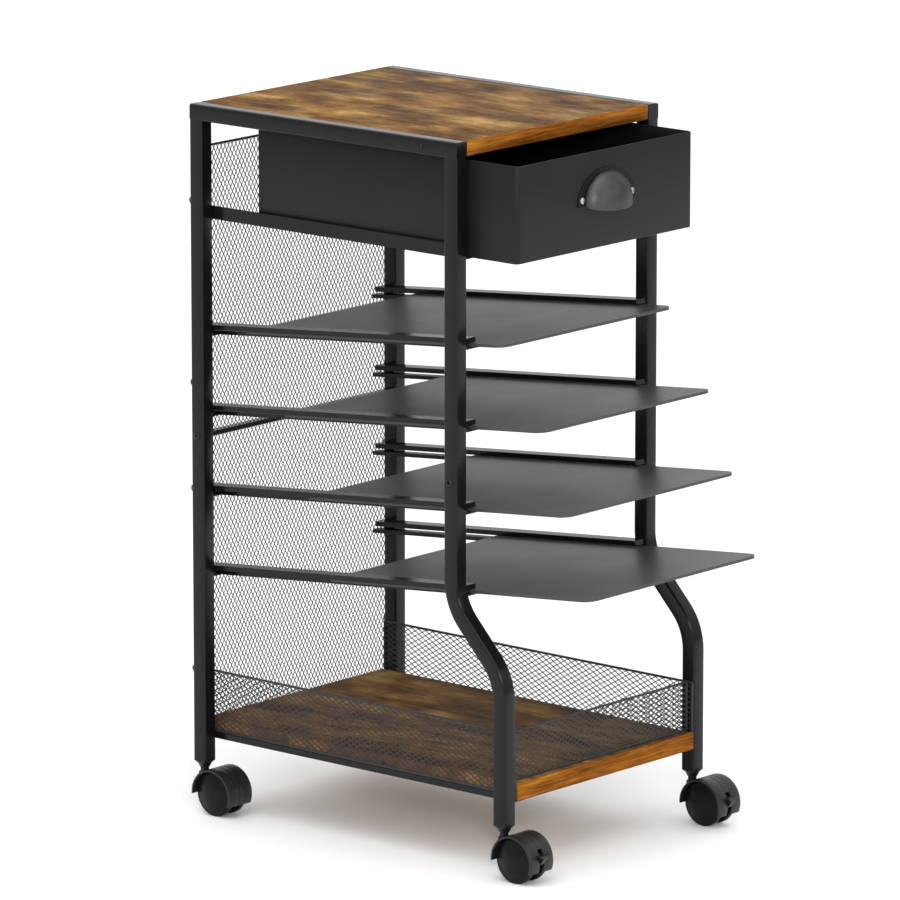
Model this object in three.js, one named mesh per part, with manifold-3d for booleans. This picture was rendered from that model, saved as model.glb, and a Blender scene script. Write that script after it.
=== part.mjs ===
// Mobile file cart: a square-tube frame on twin-wheel casters, with a wood top, a sheet-steel drawer,
// sloping slide-out trays, a mesh back and a mesh-sided base.
// Millimetres, +Z up, the drawer faces -Y, +X is to the right of someone facing it.
// The origin is on the floor, under the middle of the cart as it stands with its trays pulled out.

import * as THREE from 'three';
import { mergeGeometries, mergeVertices } from 'three/addons/utils/BufferGeometryUtils.js';
import Module from 'manifold-3d';

const wasm = await Module();
wasm.setup();

// Driving dimensions of the frame. A "depth" is a distance forward from the rear face of the rear legs.
const WIDTH = 310;
const TOP_DEPTH = 352;
const FRAME_HEIGHT = 676;
const FOOT_HEIGHT = 52.5;
const FOOT_REACH = 63.5;
const TUBE = 16.5;
const TUBE_WALL = 1.2;
const TUBE_CHAMFER = 1.4;
const CLEARANCE = 0.3;

// S-bend of the front legs, measured on the tube's centre line above the leg's foot
const BEND_RADIUS = 60;
const BEND_ANGLE = THREE.MathUtils.degToRad(43);
const BEND_MIDDLE = 182;

// Boards and the angle bars under them
const TOP_BOARD_THICKNESS = 15;
const BASE_BOARD_THICKNESS = 18;
const BASE_BOARD_PROUD = 1.5;
const BOARD_CHAMFER = 0.8;
const ANGLE_THICKNESS = 1.5;
const BASE_RAIL_LEVEL = 23;
const BASE_RAIL_HEIGHT = 7;
const BASE_RAIL_WIDTH = 16.5;
const DRAWER_RAIL_LEVEL = 558.5;
const DRAWER_RAIL_HEIGHT = 13.7;
const DRAWER_RAIL_WIDTH = 19.5;
const CROSS_BAR_LEVEL = 335.5;
const CROSS_BAR_HEIGHT = 5;
const CROSS_BAR_DEPTH = 10.5;

// Drawer, a folded box with rounded upright corners, and its cup pull
const DRAWER = { width: 269, depth: 340.5, height: 96.5, radius: 5, wall: 1.2, open: 60.5 };
const PULL = { width: 88, height: 35.5, plate: 1.6, wall: 1.6 };
const PULL_DOME = { width: 68, height: 32, reach: 20, lipDrop: 6 };
const PULL_LEVEL = 604.5;

// Trays: how far each stands out past the legs as they are pulled out here, from the top tray down
const TRAY_OUT = [39.8, 90.7, 121.5, 151.2];
const TRAY = { width: 264, depth: 340, sheet: 1.2, rim: 3, frontRadius: 12, rearRadius: 4 };
const TRAY_SLOPE = Math.atan(0.0885);
const TRAY_PITCH = 82.5;
const TOP_TRAY_LEVEL = 458.7;
const TRAY_LEVEL_DEPTH = 167;

// Tray rails: a flat guide bar above the tray's edge and a narrow runner under its sheet
const GUIDE = { width: 15, height: 5, above: 0.6 };
const RUNNER = { inset: 9.5, width: 10, height: 4 };
const STRAP = { thickness: 1.8, length: 14 };
const RAIL_END = 2;

// Mesh panels
const MESH_THICKNESS = 1.6;
const BACK_MESH = { width: 296, bottom: 36, top: 630, rim: 3, columns: 4, rows: 8, strand: 2.6 };
const BASKET_RIM_LEVEL = 94.5;
const FENCE = { rim: 2.5, end: 18, strand: 1.8, sideColumns: 8, frontColumns: 6, frontSetback: 9 };

// Casters, in a local frame with the swivel axis at the origin and the floor at zero
const CASTER = { wheelRadius: 23, trail: 23, halfWidth: 17.5, webHalf: 5.3, hoodWall: 2.1, hoodGap: 0.9 };
const HOOD_REAR_ANGLE = THREE.MathUtils.degToRad(-4);
const HOOD_FRONT_ANGLE = THREE.MathUtils.degToRad(202);
const WHEEL = { gap: 0.7, face: 16.9, crown: 0.7, dome: 2.6, shoulder: 2.4, treadDrop: 5.2 };
const WHEEL_EDGE = 1.5;
const WHEEL_BORE_END = 13.5;
const STEM = { pinRadius: 3, neckRadius: 4.4, bossTop: 42, pinFoot: 32, point: 1 };
const BOSS = { radius: 6.2, floor: 3 };
const SOCKET = { coneHeight: 6.2, neckRadius: 5, plugLength: 22 };
const AXLE_RADIUS = 2.5;

// Brake lever, about its pivot: the slot it swings in, the arm's heel and toe, and the pedal
const BRAKE = { pivotForward: 14.5, pivotUp: 5, pinRadius: 1.25, halfWidth: 3 };
const PEDAL = { half: 7, reach: 31.5, thickness: 2.5, gap: 1 };
const BRAKE_SLOT = { back: 4, below: 15, above: 10 };
const BRAKE_ARM = { heel: 2.5, top: 4, toeDrop: 6, chinDrop: 8, chinBack: 4 };

// Derived places
const HALF = WIDTH / 2;
const INNER = HALF - TUBE;
const FRAME_TOP = FOOT_HEIGHT + FRAME_HEIGHT;
const REAR_Y = (TOP_DEPTH + TRAY_OUT[TRAY_OUT.length - 1] - MESH_THICKNESS) / 2;
const FRONT_FOOT_DEPTH = TOP_DEPTH + FOOT_REACH;
const LEFT = -1;
const RIGHT = 1;
const SIDES = { left: LEFT, right: RIGHT };

// Finishes
const FRAME_FINISH = { color: 0x4a4a4c, roughness: 0.5, metalness: 0.35 };
const SHEET_FINISH = { color: 0x4d4d50, roughness: 0.45, metalness: 0.35 };
const MESH_FINISH = { color: 0x3c3c3e, roughness: 0.5, metalness: 0.35 };
const WOOD_FINISH = { color: 0xb5793f, roughness: 0.6, metalness: 0.0 };
const PULL_FINISH = { color: 0x555557, roughness: 0.35, metalness: 0.7 };
const CASTER_FINISH = { color: 0x3f3f41, roughness: 0.4, metalness: 0.0 };
const STEEL_FINISH = { color: 0x6c6c70, roughness: 0.35, metalness: 0.9 };

const cart = new THREE.Group();

// Adds one named piece to a group
function addPiece(name, geometry, finish, parent = cart) {
  const mesh = new THREE.Mesh(geometry, new THREE.MeshStandardMaterial(finish));
  mesh.name = name;
  parent.add(mesh);
  return mesh;
}

// Turns a closed three.js geometry into a solid for joining and cutting
function toSolid(geometry) {
  const bare = geometry.clone();
  bare.deleteAttribute('normal');
  bare.deleteAttribute('uv');
  const merged = mergeVertices(bare, 1e-4);
  const vertProperties = new Float32Array(merged.attributes.position.array);
  const triVerts = new Uint32Array(merged.index.array);
  return new wasm.Manifold(new wasm.Mesh({ numProp: 3, vertProperties, triVerts }));
}

// Turns a solid back into a geometry
function toGeometry(solid) {
  const { vertProperties, triVerts } = solid.getMesh();
  const geometry = new THREE.BufferGeometry();
  geometry.setAttribute('position', new THREE.BufferAttribute(vertProperties, 3));
  geometry.setIndex(new THREE.BufferAttribute(triVerts, 1));
  geometry.computeVertexNormals();
  return geometry;
}

// Joins several overlapping closed geometries into one solid
function join(...geometries) {
  return geometries.map(toSolid).reduce((whole, next) => whole.add(next));
}

// A box given by its lowest and highest corners
function boxBetween(low, high) {
  const size = high.map((value, axis) => value - low[axis]);
  const centre = high.map((value, axis) => (value + low[axis]) / 2);
  return new THREE.BoxGeometry(...size).translate(...centre);
}

// A rectangle with its own radius at each corner: rear pair, then front pair
function roundedRectangle(width, height, topRadius, bottomRadius = topRadius) {
  const x = width / 2;
  const y = height / 2;
  const quarter = Math.PI / 2;
  const shape = new THREE.Shape();
  shape.moveTo(-x + bottomRadius, -y);
  shape.absarc(x - bottomRadius, -y + bottomRadius, bottomRadius, -quarter, 0);
  shape.absarc(x - topRadius, y - topRadius, topRadius, 0, quarter);
  shape.absarc(-x + topRadius, y - topRadius, topRadius, quarter, 2 * quarter);
  shape.absarc(-x + bottomRadius, -y + bottomRadius, bottomRadius, 2 * quarter, 3 * quarter);
  return shape;
}

// A rectangle with cut corners
function chamferedRectangle(width, height, chamfer) {
  const x = width / 2;
  const y = height / 2;
  return new THREE.Shape([
    new THREE.Vector2(-x + chamfer, -y),
    new THREE.Vector2(x - chamfer, -y),
    new THREE.Vector2(x, -y + chamfer),
    new THREE.Vector2(x, y - chamfer),
    new THREE.Vector2(x - chamfer, y),
    new THREE.Vector2(-x + chamfer, y),
    new THREE.Vector2(-x, y - chamfer),
    new THREE.Vector2(-x, -y + chamfer),
  ]);
}

// A closed shape through plain points
function polygon(points) {
  return new THREE.Shape(points.map(([x, y]) => new THREE.Vector2(x, y)));
}

// A plan outline (x, y) raised along +Z
function raise(shape, height, curveSegments = 3) {
  return new THREE.ExtrudeGeometry(shape, { depth: height, bevelEnabled: false, curveSegments });
}

const FRONT_VIEW = new THREE.Matrix4().makeBasis(
  new THREE.Vector3(1, 0, 0),
  new THREE.Vector3(0, 0, 1),
  new THREE.Vector3(0, -1, 0),
);
const SIDE_VIEW = new THREE.Matrix4().makeBasis(
  new THREE.Vector3(0, 1, 0),
  new THREE.Vector3(0, 0, 1),
  new THREE.Vector3(1, 0, 0),
);

// A front-view outline (x, z) drawn out toward the front, from y = 0 to y = -length
function drawForward(shape, length, curveSegments = 4) {
  return raise(shape, length, curveSegments).applyMatrix4(FRONT_VIEW);
}

// A side-view outline (y, z) given a width along X, centred on x = 0, with chamfered side edges
function widen(shape, width, chamfer = 0, curveSegments = 6) {
  const options = { depth: width - 2 * chamfer, curveSegments, bevelEnabled: chamfer > 0 };
  const bevel = { bevelThickness: chamfer, bevelSize: chamfer, bevelOffset: -chamfer, bevelSegments: 1 };
  const geometry = new THREE.ExtrudeGeometry(shape, { ...options, ...bevel });
  return geometry.translate(0, 0, chamfer - width / 2).applyMatrix4(SIDE_VIEW);
}

// A cylinder along X, Y or Z between two places on that axis
function rod(axis, radius, from, to, sides = 12) {
  const geometry = new THREE.CylinderGeometry(radius, radius, to - from, sides);
  if (axis === 'x') geometry.rotateZ(Math.PI / 2);
  if (axis === 'z') geometry.rotateX(Math.PI / 2);
  const middle = (from + to) / 2;
  return geometry.translate(axis === 'x' ? middle : 0, axis === 'y' ? middle : 0, axis === 'z' ? middle : 0);
}

// Side view of a leg: straight, or with its foot set forward by an S-bend
function legOutline(half, foot, top, forward) {
  if (forward === 0) {
    return polygon([[-half, foot], [half, foot], [half, top], [-half, top]]);
  }
  const rise = BEND_RADIUS * Math.sin(BEND_ANGLE);
  const run = BEND_RADIUS * (1 - Math.cos(BEND_ANGLE));
  const slant = (forward - 2 * run) / Math.tan(BEND_ANGLE);
  const lowEnd = BEND_MIDDLE - rise - slant / 2;
  const highEnd = BEND_MIDDLE + rise + slant / 2;
  const lowCentre = BEND_RADIUS - forward;
  const outline = new THREE.Shape();
  outline.moveTo(-forward - half, foot);
  outline.lineTo(-forward + half, foot);
  outline.absarc(lowCentre, lowEnd, BEND_RADIUS - half, Math.PI, Math.PI - BEND_ANGLE, true);
  outline.absarc(-BEND_RADIUS, highEnd, BEND_RADIUS + half, -BEND_ANGLE, 0, false);
  outline.lineTo(half, top);
  outline.lineTo(-half, top);
  outline.absarc(-BEND_RADIUS, highEnd, BEND_RADIUS - half, 0, -BEND_ANGLE, true);
  outline.absarc(lowCentre, lowEnd, BEND_RADIUS + half, Math.PI - BEND_ANGLE, Math.PI, false);
  return outline;
}

// One leg: a square tube, closed at the top and open at the foot
function legGeometry(forward) {
  const outside = widen(legOutline(TUBE / 2, 0, FRAME_HEIGHT, forward), TUBE, TUBE_CHAMFER);
  const boreHalf = TUBE / 2 - TUBE_WALL;
  const bore = widen(legOutline(boreHalf, -1, FRAME_HEIGHT - TUBE_WALL, forward), 2 * boreHalf);
  return toGeometry(toSolid(outside).subtract(toSolid(bore)));
}

function addLegs() {
  const places = { rear: [TUBE / 2, 0], front: [TOP_DEPTH - TUBE / 2, FOOT_REACH] };
  for (const [end, [depth, forward]] of Object.entries(places)) {
    const geometry = legGeometry(forward);
    for (const [side, sign] of Object.entries(SIDES)) {
      const leg = addPiece(`${side}_${end}_leg`, geometry, FRAME_FINISH);
      leg.position.set(sign * (HALF - TUBE / 2), REAR_Y - depth, FOOT_HEIGHT);
    }
  }
}

// Top rails: square tubes between the legs' heads
function addTopRails() {
  const section = chamferedRectangle(TUBE, TUBE, TUBE_CHAMFER);
  section.holes.push(chamferedRectangle(TUBE - 2 * TUBE_WALL, TUBE - 2 * TUBE_WALL, TUBE_CHAMFER / 2));
  const geometry = drawForward(section, TOP_DEPTH - 2 * TUBE);
  for (const [side, sign] of Object.entries(SIDES)) {
    const rail = addPiece(`${side}_top_rail`, geometry, FRAME_FINISH);
    rail.position.set(sign * (HALF - TUBE / 2), REAR_Y - TUBE, FRAME_TOP - TUBE / 2);
  }
}

// An angle bar along the legs' inner faces, with its flat flange turned in to carry what rests on it
function angleBar(sign, height, width, length) {
  const thickness = ANGLE_THICKNESS;
  const points = [
    [INNER, 0],
    [INNER, height],
    [INNER - thickness, height],
    [INNER - thickness, thickness],
    [INNER - width, thickness],
    [INNER - width, 0],
  ];
  return drawForward(polygon(points.map(([x, z]) => [sign * x, z])), length);
}

function addAngleRails() {
  for (const [side, sign] of Object.entries(SIDES)) {
    const drawerBar = angleBar(sign, DRAWER_RAIL_HEIGHT, DRAWER_RAIL_WIDTH, TOP_DEPTH - 2 * RAIL_END);
    const drawerRail = addPiece(`${side}_drawer_rail`, drawerBar, FRAME_FINISH);
    drawerRail.position.set(0, REAR_Y - RAIL_END, FOOT_HEIGHT + DRAWER_RAIL_LEVEL);
    const baseBar = angleBar(sign, BASE_RAIL_HEIGHT, BASE_RAIL_WIDTH, FRONT_FOOT_DEPTH - 2 * RAIL_END);
    const baseRail = addPiece(`${side}_base_rail`, baseBar, FRAME_FINISH);
    baseRail.position.set(0, REAR_Y - RAIL_END, FOOT_HEIGHT + BASE_RAIL_LEVEL);
  }
}

function addBoards() {
  const topSection = chamferedRectangle(2 * INNER, TOP_BOARD_THICKNESS, BOARD_CHAMFER);
  const top = addPiece('top_board', drawForward(topSection, TOP_DEPTH), WOOD_FINISH);
  top.position.set(0, REAR_Y, FRAME_TOP - TOP_BOARD_THICKNESS / 2);
  const baseWidth = 2 * (INNER - ANGLE_THICKNESS - CLEARANCE);
  const baseSection = chamferedRectangle(baseWidth, BASE_BOARD_THICKNESS, BOARD_CHAMFER);
  const baseDepth = FRONT_FOOT_DEPTH + BASE_BOARD_PROUD;
  const base = addPiece('base_board', drawForward(baseSection, baseDepth), WOOD_FINISH);
  base.position.set(0, REAR_Y, baseBoardTop() - BASE_BOARD_THICKNESS / 2);
}

// Height of the base board's upper face above the floor
function baseBoardTop() {
  return FOOT_HEIGHT + BASE_RAIL_LEVEL + ANGLE_THICKNESS + BASE_BOARD_THICKNESS;
}

// Height of the base rails' upper edge above the floor
function baseRailTop() {
  return FOOT_HEIGHT + BASE_RAIL_LEVEL + BASE_RAIL_HEIGHT;
}

function addCrossBar() {
  const section = chamferedRectangle(CROSS_BAR_DEPTH, CROSS_BAR_HEIGHT, BOARD_CHAMFER);
  const bar = addPiece('rear_cross_bar', widen(section, 2 * INNER), FRAME_FINISH);
  bar.position.set(0, REAR_Y - TUBE / 2, FOOT_HEIGHT + CROSS_BAR_LEVEL + CROSS_BAR_HEIGHT / 2);
}

// A rail that holds one side of one tray, in the tray's own sloping frame: z = 0 is the guide's underside
function trayRailGeometry(sign) {
  const length = (TOP_DEPTH - 2 * RAIL_END) / Math.cos(TRAY_SLOPE);
  const runnerTop = -GUIDE.above - TRAY.sheet - CLEARANCE;
  const runnerOuter = INNER - RUNNER.inset;
  const runnerInner = runnerOuter - RUNNER.width;
  const foot = runnerTop - RUNNER.height;
  const across = (from, to) => [Math.min(sign * from, sign * to), Math.max(sign * from, sign * to)];
  const bar = (from, to, low, high, start, end) => {
    const [left, right] = across(from, to);
    return boxBetween([left, -end, low], [right, -start, high]);
  };
  const pieces = [
    bar(INNER - GUIDE.width, INNER, 0, GUIDE.height, 0, length),
    bar(runnerInner, runnerOuter, foot, runnerTop, 0, length),
  ];
  for (const start of [0, length - STRAP.length]) {
    const end = start + STRAP.length;
    pieces.push(bar(INNER - STRAP.thickness, INNER, foot, GUIDE.height / 2, start, end));
    pieces.push(bar(runnerInner, INNER, foot, foot + STRAP.thickness, start, end));
  }
  return toGeometry(join(...pieces));
}

// A tray: a flat sheet with a turned-down rim at its front and sides, and rounded front corners
function trayGeometry() {
  const outer = raise(roundedRectangle(TRAY.width, TRAY.depth, TRAY.rearRadius, TRAY.frontRadius), TRAY.rim);
  const inset = TRAY.sheet;
  const hollow = roundedRectangle(
    TRAY.width - 2 * inset,
    TRAY.depth,
    TRAY.rearRadius - inset,
    TRAY.frontRadius - inset,
  );
  const under = raise(hollow, TRAY.rim).translate(0, inset, -TRAY.sheet);
  const rearOpening = boxBetween(
    [inset - TRAY.width / 2, TRAY.depth / 2 - TRAY.rearRadius, -1],
    [TRAY.width / 2 - inset, TRAY.depth / 2 + 1, TRAY.rim - TRAY.sheet],
  );
  const sheet = toSolid(outer).subtract(toSolid(under)).subtract(toSolid(rearOpening));
  return toGeometry(sheet).translate(0, TRAY.depth / 2, -TRAY.rim - GUIDE.above);
}

function addTrays() {
  const sheet = trayGeometry();
  const railStart = (RAIL_END - TRAY_LEVEL_DEPTH) / Math.cos(TRAY_SLOPE);
  TRAY_OUT.forEach((out, index) => {
    const level = new THREE.Group();
    level.position.set(0, REAR_Y - TRAY_LEVEL_DEPTH, FOOT_HEIGHT + TOP_TRAY_LEVEL - index * TRAY_PITCH);
    level.rotation.x = -TRAY_SLOPE;
    cart.add(level);
    for (const [side, sign] of Object.entries(SIDES)) {
      const rail = addPiece(`${side}_tray_rail_${index + 1}`, trayRailGeometry(sign), FRAME_FINISH, level);
      rail.position.y = -railStart;
    }
    const tray = addPiece(`tray_${index + 1}`, sheet, SHEET_FINISH, level);
    tray.position.y = -(TOP_DEPTH + out - TRAY_LEVEL_DEPTH) / Math.cos(TRAY_SLOPE);
  });
}

// A flat panel (x, z) of diamond mesh inside a plain rim, standing on z = 0 and centred on x = 0
function meshPanel(width, height, rim, end, columns, rows, strand) {
  const cellWidth = (width - 2 * end) / columns;
  const cellHeight = (height - 2 * rim) / rows;
  const reachX = cellWidth / 2 - strand;
  const reachZ = (cellHeight / 2) * (reachX / (cellWidth / 2));
  const holes = [];
  for (let i = 0; i <= 2 * columns; i += 1) {
    for (let j = i % 2; j <= 2 * rows; j += 2) {
      const x = end - width / 2 + (i * cellWidth) / 2;
      const z = rim + (j * cellHeight) / 2;
      const points = [];
      if (i > 0) points.push([x - reachX, z]);
      if (j > 0) points.push([x, z - reachZ]);
      if (i < 2 * columns) points.push([x + reachX, z]);
      if (j < 2 * rows) points.push([x, z + reachZ]);
      if (points.length === 2) points.push([x, z]);
      holes.push(drawForward(polygon(points), 3 * MESH_THICKNESS).translate(0, MESH_THICKNESS, 0));
    }
  }
  const plate = boxBetween([-width / 2, -MESH_THICKNESS, 0], [width / 2, 0, height]);
  return toGeometry(toSolid(plate).subtract(toSolid(mergeGeometries(holes))));
}

function addBackMesh() {
  const { width, bottom, top, rim, columns, rows, strand } = BACK_MESH;
  const panel = meshPanel(width, top - bottom, rim, (width - 2 * INNER) / 2, columns, rows, strand);
  const back = addPiece('back_mesh_panel', panel, MESH_FINISH);
  back.position.set(0, REAR_Y + MESH_THICKNESS, FOOT_HEIGHT + bottom);
}

// Low mesh walls round the base board: one against each pair of legs, and one across the front
function addFences() {
  const { rim, end, strand, sideColumns, frontColumns, frontSetback } = FENCE;
  const rimTop = FOOT_HEIGHT + BASKET_RIM_LEVEL;
  const length = FRONT_FOOT_DEPTH - 2 * RAIL_END;
  const sidePanel = meshPanel(length, rimTop - baseRailTop(), rim, end, sideColumns, 1, strand);
  sidePanel.rotateZ(Math.PI / 2);
  for (const [side, sign] of Object.entries(SIDES)) {
    const fence = addPiece(`${side}_basket_fence`, sidePanel, MESH_FINISH);
    const inward = sign === LEFT ? 0 : MESH_THICKNESS;
    fence.position.set(sign * INNER - inward, REAR_Y - RAIL_END - length / 2, baseRailTop());
  }
  const frontWidth = 2 * (INNER - MESH_THICKNESS - CLEARANCE);
  const front = addPiece(
    'front_basket_fence',
    meshPanel(frontWidth, rimTop - baseBoardTop(), rim, rim, frontColumns, 1, strand),
    MESH_FINISH,
  );
  front.position.set(0, REAR_Y - FRONT_FOOT_DEPTH + frontSetback, baseBoardTop());
}

// Drawer: an open box folded from sheet, carried on the angle bars' flanges
function addDrawer() {
  const { width, depth, height, radius, wall, open } = DRAWER;
  const floor = FOOT_HEIGHT + DRAWER_RAIL_LEVEL + ANGLE_THICKNESS + CLEARANCE;
  const frontY = REAR_Y - TOP_DEPTH - open;
  const outside = raise(roundedRectangle(width, depth, radius), height);
  const inside = raise(roundedRectangle(width - 2 * wall, depth - 2 * wall, radius - wall), height);
  const box = toSolid(outside).subtract(toSolid(inside.translate(0, 0, wall)));
  const drawer = addPiece('drawer_box', toGeometry(box), SHEET_FINISH);
  drawer.position.set(0, frontY + depth / 2, floor);
  const pull = addPiece('cup_pull', cupPullGeometry(), PULL_FINISH);
  pull.position.set(0, frontY, FOOT_HEIGHT + PULL_LEVEL);
}

// Cup pull: a half-oval plate with a hollow dome open underneath and at the back
function cupPullGeometry() {
  const { width, height, plate, wall } = PULL;
  const { reach, lipDrop } = PULL_DOME;
  const oval = new THREE.Shape();
  oval.moveTo(-width / 2, 0);
  oval.lineTo(width / 2, 0);
  oval.absellipse(0, 0, width / 2, height, 0, Math.PI);
  const face = drawForward(oval, plate, 20);
  const dome = (halfWidth, deep, tall) => new THREE.SphereGeometry(1, 20, 14).scale(halfWidth, deep, tall);
  const outside = dome(PULL_DOME.width / 2, reach, PULL_DOME.height);
  const inside = dome(PULL_DOME.width / 2 - wall, reach - wall, PULL_DOME.height - wall);
  const aboveLip = polygon([
    [0, 0],
    [-2 * reach, -2 * lipDrop],
    [-2 * reach, 2 * height],
    [0, 2 * height],
  ]);
  const shell = toSolid(outside).intersect(toSolid(widen(aboveLip, 2 * width))).add(toSolid(face));
  return toGeometry(shell.subtract(toSolid(inside)));
}

// A flat sector ring (y, z) about the wheel's axle, from the hood's rear lip over the top to its front lip
function hoodRing(innerRadius, outerRadius) {
  const ring = new THREE.Shape();
  ring.absarc(0, 0, outerRadius, HOOD_REAR_ANGLE, HOOD_FRONT_ANGLE, false);
  ring.absarc(0, 0, innerRadius, HOOD_FRONT_ANGLE, HOOD_REAR_ANGLE, true);
  return ring;
}

// Caster body: a curved hood over both wheels, a web between them and a boss for the stem
function hoodGeometry(withBrake) {
  const { wheelRadius, trail, halfWidth, webHalf, hoodWall, hoodGap } = CASTER;
  const clear = wheelRadius + hoodGap;
  const outer = clear + hoodWall;
  const ringSteps = 14;
  const cover = widen(hoodRing(clear, outer), 2 * halfWidth, 0, ringSteps);
  const web = widen(hoodRing(0, clear + hoodWall / 2), 2 * webHalf, 0, ringSteps);
  const hub = rod('x', 3 * AXLE_RADIUS, -webHalf, webHalf);
  const bossFoot = STEM.pinFoot - BOSS.floor - wheelRadius;
  const boss = rod('z', BOSS.radius, bossFoot, STEM.bossTop - wheelRadius);
  boss.translate(0, trail, 0);
  const wheelSpace = rod('x', clear, webHalf, 2 * halfWidth, 28);
  const farWheelSpace = rod('x', clear, -2 * halfWidth, -webHalf, 28);
  const seat = toSolid(boss).subtract(toSolid(wheelSpace)).subtract(toSolid(farWheelSpace));
  let body = join(cover, web, hub).add(seat);
  body = body.subtract(toSolid(rod('x', AXLE_RADIUS + CLEARANCE, -2 * webHalf, 2 * webHalf)));
  const pinBore = rod('z', STEM.pinRadius + CLEARANCE, STEM.pinFoot - CLEARANCE - wheelRadius, outer + trail);
  body = body.subtract(toSolid(pinBore.translate(0, trail, 0)));
  if (withBrake) {
    const slotHalf = BRAKE.halfWidth + CLEARANCE;
    const slot = boxBetween(
      [-slotHalf, BRAKE.pivotForward - 2 * outer, -BRAKE_SLOT.below],
      [slotHalf, BRAKE_SLOT.back, BRAKE_SLOT.above],
    );
    const pivotBore = rod('x', BRAKE.pinRadius + CLEARANCE, -2 * webHalf, 2 * webHalf);
    for (const cut of [slot, pivotBore]) {
      cut.translate(0, -BRAKE.pivotForward, BRAKE.pivotUp);
    }
    body = body.subtract(toSolid(slot)).subtract(toSolid(pivotBore));
  }
  return toGeometry(body);
}

// A wheel, turned about the axle: domed outer face, rounded tread and a blind bore
function wheelGeometry(sign) {
  const { wheelRadius, webHalf } = CASTER;
  const { gap, face, crown, dome, shoulder, treadDrop } = WHEEL;
  const innerFace = webHalf + gap;
  const bore = AXLE_RADIUS + CLEARANCE / 2;
  const profile = [
    [0, face],
    [wheelRadius / 2, face - crown],
    [wheelRadius - shoulder, face - dome],
    [wheelRadius, face - treadDrop],
    [wheelRadius, innerFace + WHEEL_EDGE],
    [wheelRadius - WHEEL_EDGE, innerFace],
    [bore, innerFace],
    [bore, WHEEL_BORE_END],
    [0, WHEEL_BORE_END],
  ];
  const turned = new THREE.LatheGeometry(profile.reverse().map(([r, x]) => new THREE.Vector2(r, x)), 20);
  turned.rotateZ(-Math.PI / 2);
  return sign === RIGHT ? turned : turned.rotateZ(Math.PI);
}

// Caster stem: a pin held in the hood's boss and turning in the leg's socket, with a short neck between
function stemGeometry() {
  const neckTop = FOOT_HEIGHT - SOCKET.coneHeight - CLEARANCE;
  const pinTop = FOOT_HEIGHT + SOCKET.plugLength - 2 * STEM.point;
  const profile = [
    [0, STEM.pinFoot],
    [STEM.pinRadius, STEM.pinFoot],
    [STEM.pinRadius, STEM.bossTop],
    [STEM.neckRadius, STEM.bossTop],
    [STEM.neckRadius, neckTop],
    [STEM.pinRadius, neckTop],
    [STEM.pinRadius, pinTop - STEM.point],
    [STEM.pinRadius - STEM.point, pinTop],
    [0, pinTop],
  ];
  return new THREE.LatheGeometry(profile.map(([r, z]) => new THREE.Vector2(r, z)), 12).rotateX(Math.PI / 2);
}

// Leg socket: a square plug inside the tube, and a tapered collar below it
function socketGeometry() {
  const plugSide = TUBE - 2 * TUBE_WALL - 2 * CLEARANCE;
  const plugSection = chamferedRectangle(plugSide, plugSide, TUBE_CHAMFER);
  const plug = raise(plugSection, SOCKET.plugLength + TUBE_WALL).translate(0, 0, -TUBE_WALL);
  const collar = new THREE.CylinderGeometry(TUBE / 2, SOCKET.neckRadius, SOCKET.coneHeight, 16);
  collar.rotateX(Math.PI / 2).translate(0, 0, -SOCKET.coneHeight / 2);
  const bore = rod('z', STEM.pinRadius + CLEARANCE, -2 * SOCKET.coneHeight, 2 * SOCKET.plugLength);
  return toGeometry(join(plug, collar).subtract(toSolid(bore)));
}

// Brake lever: a pedal at the front of the hood, on a pin across the web's slot
function brakeGeometry() {
  const { pivotForward, pivotUp, pinRadius, halfWidth } = BRAKE;
  const { heel, top, toeDrop, chinDrop, chinBack } = BRAKE_ARM;
  const { wheelRadius, hoodGap, hoodWall, webHalf } = CASTER;
  const tip = pivotForward - PEDAL.reach;
  const underside = top - PEDAL.thickness;
  const coverFace = pivotForward - (wheelRadius + hoodGap + hoodWall);
  const arm = polygon([
    [heel, -heel],
    [heel, heel],
    [0, top],
    [tip, top],
    [tip, underside],
    [coverFace, -toeDrop],
    [coverFace + chinBack, -chinDrop],
  ]);
  const pin = rod('x', pinRadius, -webHalf, webHalf);
  const foot = boxBetween([-PEDAL.half, tip, underside], [PEDAL.half, coverFace - PEDAL.gap, top]);
  return toGeometry(join(widen(arm, 2 * halfWidth), pin, foot)).translate(0, -pivotForward, pivotUp);
}

function addCasters() {
  const depths = { front: FRONT_FOOT_DEPTH - TUBE / 2, rear: TUBE / 2 };
  const stem = stemGeometry();
  const socket = socketGeometry();
  const axleHalf = WHEEL_BORE_END - CLEARANCE;
  const axle = rod('x', AXLE_RADIUS, -axleHalf, axleHalf);
  for (const [end, depth] of Object.entries(depths)) {
    const braked = end === 'front';
    const hood = hoodGeometry(braked);
    for (const [side, sign] of Object.entries(SIDES)) {
      const label = `${side}_${end}`;
      const caster = new THREE.Group();
      caster.position.set(sign * (HALF - TUBE / 2), REAR_Y - depth, 0);
      cart.add(caster);
      addPiece(`${label}_leg_socket`, socket, CASTER_FINISH, caster).position.z = FOOT_HEIGHT;
      addPiece(`${label}_caster_stem`, stem, STEEL_FINISH, caster);
      const wheels = new THREE.Group();
      wheels.position.set(0, -CASTER.trail, CASTER.wheelRadius);
      caster.add(wheels);
      addPiece(`${label}_caster_hood`, hood, CASTER_FINISH, wheels);
      addPiece(`${label}_caster_axle`, axle, STEEL_FINISH, wheels);
      addPiece(`${label}_caster_wheel_a`, wheelGeometry(LEFT), CASTER_FINISH, wheels);
      addPiece(`${label}_caster_wheel_b`, wheelGeometry(RIGHT), CASTER_FINISH, wheels);
      if (braked) addPiece(`${label}_caster_brake`, brakeGeometry(), CASTER_FINISH, wheels);
    }
  }
}

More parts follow.
